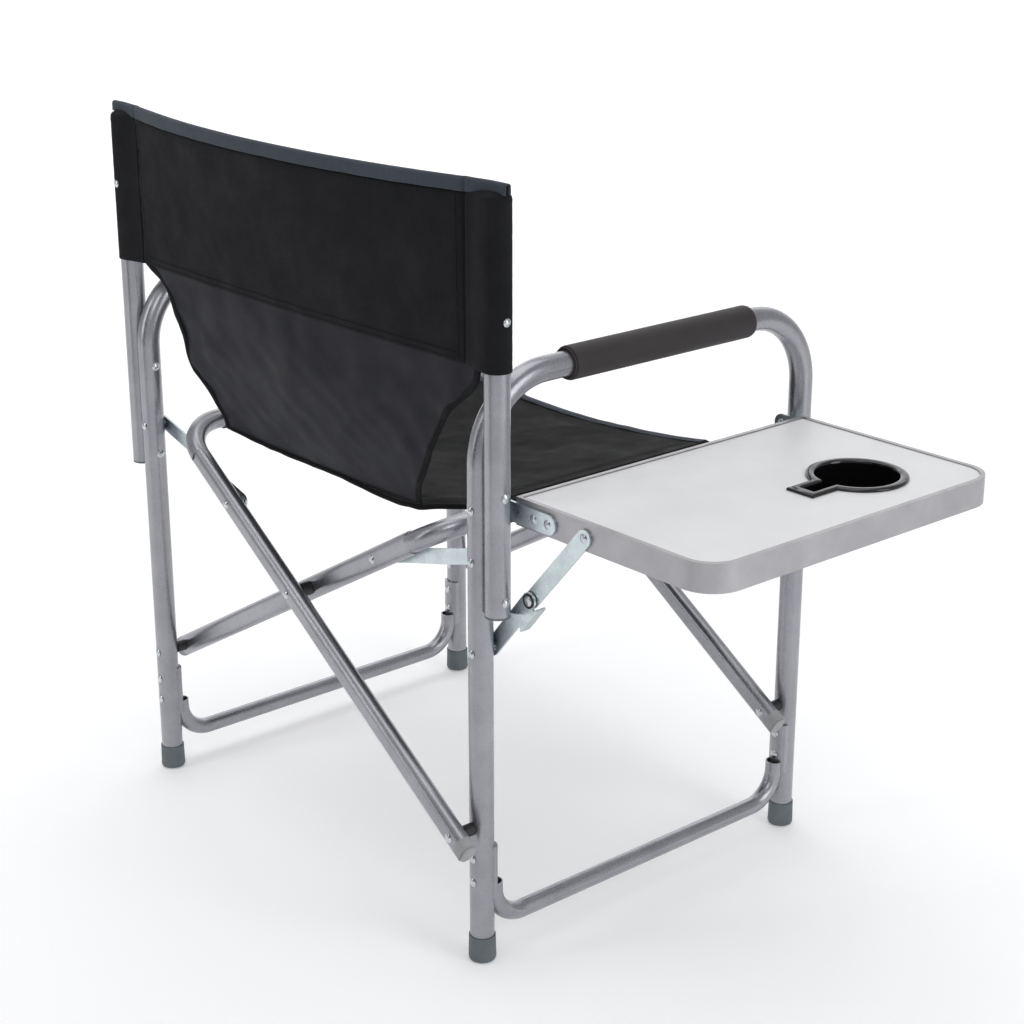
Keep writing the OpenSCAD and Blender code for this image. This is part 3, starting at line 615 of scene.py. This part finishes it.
def pinch(z):
    """How far the sleeve's top is drawn flat together: 1 open, near 0 shut."""
    for (a, fa), (b, fb) in zip(PINCH, PINCH[1:]):
        if z <= b:
            return fa + (fb - fa) * smooth((z - a) / (b - a))
    return PINCH[-1][1]


SLEEVE_TOP = BAND_HIGH + 4.5 * MM
PINCH = [(0.0, 1.0), (BAND_HIGH - 3.5 * MM, 1.0), (BAND_HIGH - 0.5 * MM, 0.93), (BAND_HIGH + 2 * MM, 0.60),
         (SLEEVE_TOP, 0.12)]


def sleeve(name, sign, body, node):
    outer, inner = sleeve_outline(sign, False), sleeve_outline(sign, True)
    n = len(outer)
    levels = 60
    verts, faces = [], []
    for loop, flip, top in ((outer, False, SLEEVE_TOP), (inner, True, BAND_HIGH - 0.2 * MM)):
        base = len(verts)
        for j in range(levels + 1):
            z = BAND_LOW + (top - BAND_LOW) * (1 - (1 - j / levels) ** 1.5)
            shut = pinch(z)
            for x, y in loop:
                away = Vector((x - sign * SPAN, y, 0))
                near = smooth(1 - away.length / (34 * MM))
                dent = 0.0 if flip else -abs(wave(x * 1.3, y, z * 2.4, 0.022, 5.0 + sign)) * 0.6 * MM
                hem = 0.0 if flip else -0.4 * MM * smooth(1 - abs(z - BAND_LOW - 8 * MM) / (1.5 * MM))
                push = away.normalized() * (dent + hem) * near
                wide = sign * SPAN + (x - sign * SPAN) * (1 - 0.30 * (1 - shut))
                verts.append((CX + wide + push.x, UP_Y + y * shut + push.y, z))
        for j in range(levels):
            for i in range(n):
                a, b = base + j * n + i, base + j * n + (i + 1) % n
                quad = (a, b, b + n, a + n)
                faces.append(tuple(reversed(quad)) if flip == (sign > 0) else quad)
        lid = tuple(base + levels * n + i for i in range(n))
        faces.append(lid if flip == (sign < 0) else tuple(reversed(lid)))
    half = (levels + 1) * n
    for i in range(n):
        b = (i + 1) % n
        low = (i, i + half, b + half, b)
        faces.append(low if sign > 0 else tuple(reversed(low)))
    obj = mesh_object(name, verts, faces, "band_fabric")
    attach(obj, body)
    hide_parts(node)
    return obj


sleeve("upright_sleeve_right", -1, "right_frame", "back_sleeve_right")
sleeve("upright_sleeve_left", 1, "left_frame", "back_sleeve_left")


# ---------- slate binding along the top ----------

def flap_section(x, share):
    """Binding strip over the top edge: rear skirt, over the top, front skirt. share runs 0 to 1 round it."""
    inside = abs(x) < SEAM_X
    mid = BAND_Y + (band_bow(x, BAND_HIGH) if inside else 0)
    half = 2.3 * MM
    ripple = 0.5 * MM * wave(x, 0, 0, 0.03, 1.0)
    low = BAND_HIGH - 1.0 * MM + ripple
    if inside:
        half += 1.0 * MM * smooth((SEAM_X - abs(x)) / (60 * MM))
    else:
        t = smooth((abs(x) - SEAM_X) / (SPAN - SEAM_X))
        mid = BAND_Y * (1 - t) + UP_Y * t
        low += 2.4 * MM * t
    peak = TOP - 0.8 * MM
    if share < 0.4:
        return mid + half, low + (peak - low - 2 * MM) * share / 0.4
    if share > 0.6:
        return mid - half, low + (peak - low - 2 * MM) * (1 - share) / 0.4
    a = math.pi * (share - 0.4) / 0.2
    return mid + half * math.cos(a), peak - 2 * MM + 2 * MM * math.sin(a)


def flap(name, x0, x1, n):
    def point(u, v):
        x = x0 + (x1 - x0) * u
        y, z = flap_section(x, v)
        lean = 0.8 * MM * wave(x * 0.8, 0, 0, 0.06, 3.0)
        return Vector((CX + x, y + lean, z))
    return cloth_sheet(name, point, n, 20, "binding", 1.2 * MM, -1.0)


flap_mid = flap("top_binding", -SEAM_X, SEAM_X, 130)
follows_back(flap_mid)
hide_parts("top_flap")
for sign, side in ((-1, "right"), (1, "left")):
    ends = sorted((sign * SEAM_X, sign * (SPAN + SLV_R + 1.6 * MM)))
    piece = flap(f"top_binding_end_{side}", ends[0], ends[1], 14)
    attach(piece, f"{side}_frame")


# ---------- lower back panel ----------

PANEL_LOW = 452 * MM
WAIST = {
    1: [(0.0, 177), (0.08, 172), (0.16, 174), (0.25, 186), (0.34, 202), (0.46, 212), (0.61, 217), (0.79, 226),
        (0.91, 248), (0.97, 280), (1.0, 292)],
    -1: [(0.0, 170), (0.08, 175), (0.25, 197), (0.41, 217), (0.61, 239), (0.76, 268), (0.85, 292),
         (1.0, 300)],
}


def waist(sign, v):
    """Half-width of the panel on one side at a share of its height, with the corners rounded off."""
    total = 0.0
    for step in (-0.05, -0.025, 0.0, 0.025, 0.05):
        w = min(1.0, max(0.0, v + step))
        for (a, wa), (b, wb) in zip(WAIST[sign], WAIST[sign][1:]):
            if w <= b:
                total += wa + (wb - wa) * (w - a) / (b - a)
                break
    return total / 5 * MM


def panel_x(u, v):
    right, left = waist(-1, v), waist(1, v)
    return -right + (left + right) * u


def panel_point(u, v):
    x = panel_x(u, v)
    side = abs(2 * u - 1)
    drop = 2.5 * MM * (1 - (x / (200 * MM)) ** 2) * (1 - v) if abs(x) < 200 * MM else 0
    z = PANEL_LOW + v * (SEAM_Z - PANEL_LOW) - drop
    y_top = BAND_Y + band_bow(x, SEAM_Z) + band_wrinkle(x, SEAM_Z)
    y_low = SEAT_TAIL + 1 * MM
    belly = math.sin(math.pi * v) * (4 + 7 * (1 - min(1, abs(x) / (260 * MM)))) * MM
    y = y_low + (y_top - y_low) * v ** 0.9 + belly
    calm = math.sin(math.pi * min(1, max(0, v))) ** 0.6
    folds = 3.4 * wave(x * 0.7 + z * 0.9, z, 0, 0.06, 6.0) + 1.0 * wave(x - z * 1.2, z * 0.8, 0, 0.032, 8.0)
    reach = smooth((v - 0.05) / 0.3) * smooth((0.95 - v) / 0.3)
    slant = (x * 0.9 + (z - PANEL_LOW) * 1.4) * 26
    folds += 2.6 * reach * (1 - abs(math.sin(slant + 2 * wave(x, z, 0, 0.12, 4.0))))
    tug = smooth((side - 0.55) / 0.45) * 2.2 * wave(x * 1.5, z * 1.4, 0, 0.035, 2.5)
    gather = 0.9 * math.sin(x * 120 + 3 * wave(x, 0, 0, 0.08, 3.0)) * smooth((v - 0.78) / 0.22) * (1 - v) * 4
    return Vector((CX + x, y + (folds + tug + gather) * calm * MM, z))


panel = cloth_sheet("lower_panel", panel_point, 150, 60, "panel_fabric", 1.0 * MM)
follows_back(panel)
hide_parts("lower_back_panel")
mean_width = sum(waist(1, (k + 0.5) / 200) + waist(-1, (k + 0.5) / 200) for k in range(200)) / 200


def panel_edge(sign):
    return [panel_point(0.5 + 0.5 * sign, v / 70) for v in range(0, 71)]


def edge_strip(name, path, inward, width, thick, slot):
    """A folded hem along a path: a flat strip that lies over the panel's edge."""
    verts, faces = [], []
    for k, p in enumerate(path):
        ahead = (path[min(k + 1, len(path) - 1)] - path[max(k - 1, 0)]).normalized()
        n = Vector((0, 1, 0))
        s = inward(p)
        s = (s - ahead * s.dot(ahead)).normalized()
        n = (n - ahead * n.dot(ahead) - s * n.dot(s)).normalized()
        for x, y in ((-0.12, 0), (0, 0.8), (0.5, 1), (0.95, 0.8), (1, 0), (0.95, -0.8), (0.5, -1), (0, -0.8)):
            verts.append(p + s * (x * width) + n * (y * thick))
    m = 8
    for k in range(len(path) - 1):
        for i in range(m):
            a, b = k * m + i, k * m + (i + 1) % m
            faces.append((a, b, b + m, a + m))
    faces.append(tuple(reversed(range(m))))
    faces.append(tuple(range((len(path) - 1) * m, len(path) * m)))
    return mesh_object(name, verts, faces, slot)


for sign, side in ((-1, "right"), (1, "left")):
    hem = edge_strip(f"panel_piping_{side}", panel_edge(sign), lambda p, s=sign: Vector((-s, 0, 0)), 7 * MM,
                     1.7 * MM, "band_fabric")
    follows_back(hem)
    row = stitches(f"panel_stitches_{side}",
                   lambda t, s=sign: panel_point(0.5 + s * (0.5 - 4.4 * MM / (waist(1, t) + waist(-1, t))), t)
                   + Vector((0, 1.8 * MM, 0)),
                   lambda p: Vector((0, 1, 0)), 2.2 * MM, 3.4 * MM, "band_fabric")
    follows_back(row)


# ---------- seat ----------

def seat_tail(x):
    """Rear edge of the seat: level with the sleeves at the rails, further back between them."""
    return SEAT_REAR + (SEAT_TAIL - SEAT_REAR) * smooth((RAIL_X - 14 * MM - abs(x)) / (52 * MM))


def seat_height(x, share):
    half = RAIL_X - 3 * MM
    t = min(1.0, abs(x) / half)
    rear = smooth((share - 0.55) / 0.42)
    dip = 17 * MM * (1 - t * t) * (1 - 0.86 * rear)
    slack = 6.5 * MM * math.exp(-((x + 130 * MM) / (70 * MM)) ** 2) * rear * (1 - t ** 4)
    return RAIL_Z + RAIL_R + 0.2 * MM - dip - slack - 1.3 * MM * (1 - t)


def seat_point(u, v):
    x = (2 * u - 1) * (RAIL_X - 2 * MM)
    y = SEAT_FRONT + v * (seat_tail(x) - SEAT_FRONT)
    off = (1 - (abs(x) / (RAIL_X - 2 * MM)) ** 4)
    rear = smooth((v - 0.80) / 0.20)
    folds = 1.7 * wave(x * 0.5, y * 0.9, 0, 0.07, 5.0) + 0.8 * wave(x + y, y - x, 0, 0.032, 3.0)
    corner = 2.4 * rear * smooth((abs(x) - 0.08) / 0.12) * wave(x * 1.4, y * 1.4, 0, 0.03, 11.0)
    roll = -3.5 * MM * smooth((v - 0.965) / 0.035)
    return Vector((CX + x, y, seat_height(x, v) + (folds + corner) * off * MM + roll * off))


seat = cloth_sheet("seat_sheet", seat_point, 130, 96, "seat_fabric", 1.6 * MM, -1.0)
follows_seat(seat)
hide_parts("seat_panel")


def seat_sleeve(name, sign, body, node):
    n, levels = 40, 70
    verts, faces = [], []
    for shrink in (0.0, 1.2 * MM):
        for j in range(levels + 1):
            y = SEAT_FRONT + (SEAT_REAR - SEAT_FRONT) * j / levels
            for i in range(n):
                a = 2 * math.pi * i / n
                r = RAIL_R - shrink
                if not shrink:
                    r -= abs(wave(math.cos(a) * 0.05, y * 2.0, math.sin(a) * 0.05, 0.02, 6 + sign)) * 0.9 * MM
                verts.append((CX + sign * (RAIL_X + r * math.cos(a)), y, RAIL_Z + r * math.sin(a)))
    half = (levels + 1) * n
    for base, flip in ((0, False), (half, True)):
        for j in range(levels):
            for i in range(n):
                a, b = base + j * n + i, base + j * n + (i + 1) % n
                quad = (a, b, b + n, a + n)
                faces.append(quad if flip == (sign > 0) else tuple(reversed(quad)))
    for i in range(n):
        b = (i + 1) % n
        low = (i, b, b + half, i + half)
        high = (levels * n + i, half + levels * n + i, half + levels * n + b, levels * n + b)
        faces.append(low if sign > 0 else tuple(reversed(low)))
        faces.append(high if sign > 0 else tuple(reversed(high)))
    obj = mesh_object(name, verts, faces, "seat_fabric")
    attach(obj, body)
    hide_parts(node)
    return obj


seat_sleeve("seat_sleeve_sheet_left", 1, "cross_a", "seat_sleeve_left")
seat_sleeve("seat_sleeve_sheet_right", -1, "cross_b", "seat_sleeve_right")

# rear hem and front binding
hem_path = [seat_point(k / 120, 1.0) + Vector((0, 0.5 * MM, -2.6 * MM)) for k in range(3, 118)]
follows_seat(tube("seat_rear_hem", hem_path, 3.0 * MM, "seat_fabric", 10))


def front_binding(u, v):
    base = seat_point(0.01 + 0.98 * u, 0)
    reach = 11 * MM
    if v < 0.35:
        return base + Vector((0, reach * (0.35 - v) / 0.35, 0.9 * MM))
    if v > 0.65:
        return base + Vector((0, reach * (v - 0.65) / 0.35, -2.6 * MM))
    b = math.pi * (v - 0.35) / 0.3
    return base + Vector((0, -1.8 * MM * math.sin(b), -0.85 * MM + 1.75 * MM * math.cos(b)))


binding = cloth_sheet("seat_front_binding", front_binding, 110, 20, "binding", 0.7 * MM, 1.0)
follows_seat(binding)

# ---------- stitching ----------

REAR = Vector((0, 1, 0))


def band_row(name, x0, z0, x1, z1, layer=1):
    def line(t):
        p = band_point(x0 + (x1 - x0) * t, z0 + (z1 - z0) * t, layer)
        return p + Vector((0, layer * 0.2 * MM, 0))
    row = stitches(name, line, lambda p: REAR * layer, 2.4 * MM, 3.6 * MM, "band_fabric")
    follows_back(row)


for sign, side in ((-1, "right"), (1, "left")):
    for k, inset in enumerate((3.0, 10.0)):
        for layer, face in ((1, "rear"), (-1, "front")):
            x = sign * (SEAM_X - inset * MM)
            band_row(f"band_seam_{side}_{k}_{face}", x, BAND_LOW + 2 * MM, x, BAND_HIGH - 4 * MM, layer)
for k, z in enumerate((3.5, 10.0)):
    for layer, face in ((1, "rear"), (-1, "front")):
        band_row(f"band_hem_{k}_{face}", -(SEAM_X - 12 * MM), BAND_LOW + z * MM, SEAM_X - 12 * MM,
                 BAND_LOW + z * MM, layer)


def seat_row(name, u0, v0, u1, v1, lift):
    def line(t):
        return seat_point(u0 + (u1 - u0) * t, v0 + (v1 - v0) * t) + Vector((0, 0, lift))
    row = stitches(name, line, lambda p: Vector((0, 0, 1)), 2.4 * MM, 3.6 * MM, "seat_fabric")
    follows_seat(row)


for k, inset in enumerate((0.035, 0.05)):
    seat_row(f"seat_seam_right_{k}", inset, 0.02, inset, 0.97, 0.3 * MM)
    seat_row(f"seat_seam_left_{k}", 1 - inset, 0.02, 1 - inset, 0.97, 0.3 * MM)
seat_row("seat_seam_rear", 0.05, 0.955, 0.95, 0.955, 0.3 * MM)
seat_row("seat_seam_front", 0.03, 0.024, 0.97, 0.024, 1.7 * MM)

# ---------- floor, light and camera ----------

CAMERA_AZIMUTH = math.radians(229.1)
TO_CAMERA = Vector((math.sin(CAMERA_AZIMUTH), -math.cos(CAMERA_AZIMUTH), 0))
ACROSS = TO_CAMERA.cross(Vector((0, 0, 1)))


def studio():
    mat, nt, sh = principled("studio_paper", (0.90, 0.90, 0.905), 0.85, Emission_Color=(1, 1, 1, 1),
                             Emission_Strength=0.20)
    nt.links.new(remap(nt, speckle(nt, coords(nt), 3, 3), 0.8, 0.92), sh.inputs["Roughness"])
    verts, faces = [], []
    profile = [(4.5, 0.0), (-4.0, 0.0)]
    for k in range(1, 25):
        a = math.pi / 2 * k / 24
        profile.append((-4.0 - 2.2 * math.sin(a), 2.2 - 2.2 * math.cos(a)))
    profile.append((-6.2, 9.0))
    centre = Vector((CX, 0, 0))
    for d, h in profile:
        for s in (-9, 9):
            verts.append(centre + TO_CAMERA * d + ACROSS * s + Vector((0, 0, h - 0.0004)))
    for k in range(len(profile) - 1):
        faces.append((2 * k, 2 * k + 1, 2 * k + 3, 2 * k + 2))
    data = bpy.data.meshes.new("studio_sweep")
    data.from_pydata([tuple(v) for v in verts], [], faces)
    for poly in data.polygons:
        poly.use_smooth = True
    obj = bpy.data.objects.new("studio_sweep", data)
    bpy.context.scene.collection.objects.link(obj)
    data.materials.append(mat)


def soft_box(name, place, aim, size, power, color=(1, 1, 1)):
    data = bpy.data.lights.new(name, "AREA")
    data.shape = "RECTANGLE"
    data.size, data.size_y = size
    data.energy = power
    data.color = color
    obj = bpy.data.objects.new(name, data)
    bpy.context.scene.collection.objects.link(obj)
    obj.location = place
    obj.rotation_mode = "QUATERNION"
    obj.rotation_quaternion = (Vector(aim) - Vector(place)).to_track_quat("-Z", "Y")


def dark_card():
    """A black card that the camera doesn't see, which draws the dark streaks along the tubes."""
    mat, nt, sh = principled("card_black", (0.02, 0.02, 0.022), 0.9)
    nt.links.new(remap(nt, speckle(nt, coords(nt), 8, 3), 0.85, 0.95), sh.inputs["Roughness"])
    a = TO_CAMERA * 0.9 + ACROSS * 1.7
    b = TO_CAMERA * 1.9 + ACROSS * 1.5
    verts = [(CX + p.x, p.y, z) for z in (0.05, 2.0) for p in (a, b)]
    data = bpy.data.meshes.new("dark_card")
    data.from_pydata(verts, [], [(0, 1, 3, 2)])
    data.materials.append(mat)
    obj = bpy.data.objects.new("dark_card", data)
    bpy.context.scene.collection.objects.link(obj)
    obj.visible_camera = False


studio()
dark_card()
middle = Vector((CX, 0, 0.4))
behind = Vector((CX, 0, 0)) - TO_CAMERA * 4.8
soft_box("overhead", (CX + 0.2, 0.1, 2.9), middle, (2.6, 2.6), 30)
soft_box("left_window", (CX + 0.5, 2.9, 1.5), middle, (1.5, 2.2), 27)
soft_box("right_window", (CX - 3.0, -0.6, 1.3), middle, (1.2, 2.2), 22)
soft_box("behind_camera", (CX - 2.0, 2.2, 2.3), middle, (1.2, 1.2), 11)
soft_box("backdrop_wash", behind + TO_CAMERA * 0.8 + Vector((0, 0, 2.8)), behind, (5.0, 2.4), 60)
world = bpy.data.worlds.new("studio_world")
bpy.context.scene.world = world
world.use_nodes = True
world.node_tree.nodes["Background"].inputs["Color"].default_value = (0.97, 0.98, 1.0, 1)
world.node_tree.nodes["Background"].inputs["Strength"].default_value = 0.45
bpy.context.scene.view_settings.view_transform = "Standard"

cam_data = bpy.data.cameras.new("camera")
cam_data.lens = 73.4
cam_data.sensor_width = 36
cam_data.clip_start, cam_data.clip_end = 0.05, 60
cam = bpy.data.objects.new("camera", cam_data)
bpy.context.scene.collection.objects.link(cam)
cam.location = (-1.7157 + CX, 1.4173, 1.1362)
target = Vector((0.0666 + CX, -0.1264, 0.3049))
cam.rotation_mode = "QUATERNION"
cam.rotation_quaternion = (target - cam.location).to_track_quat("-Z", "Y")
bpy.context.scene.camera = cam
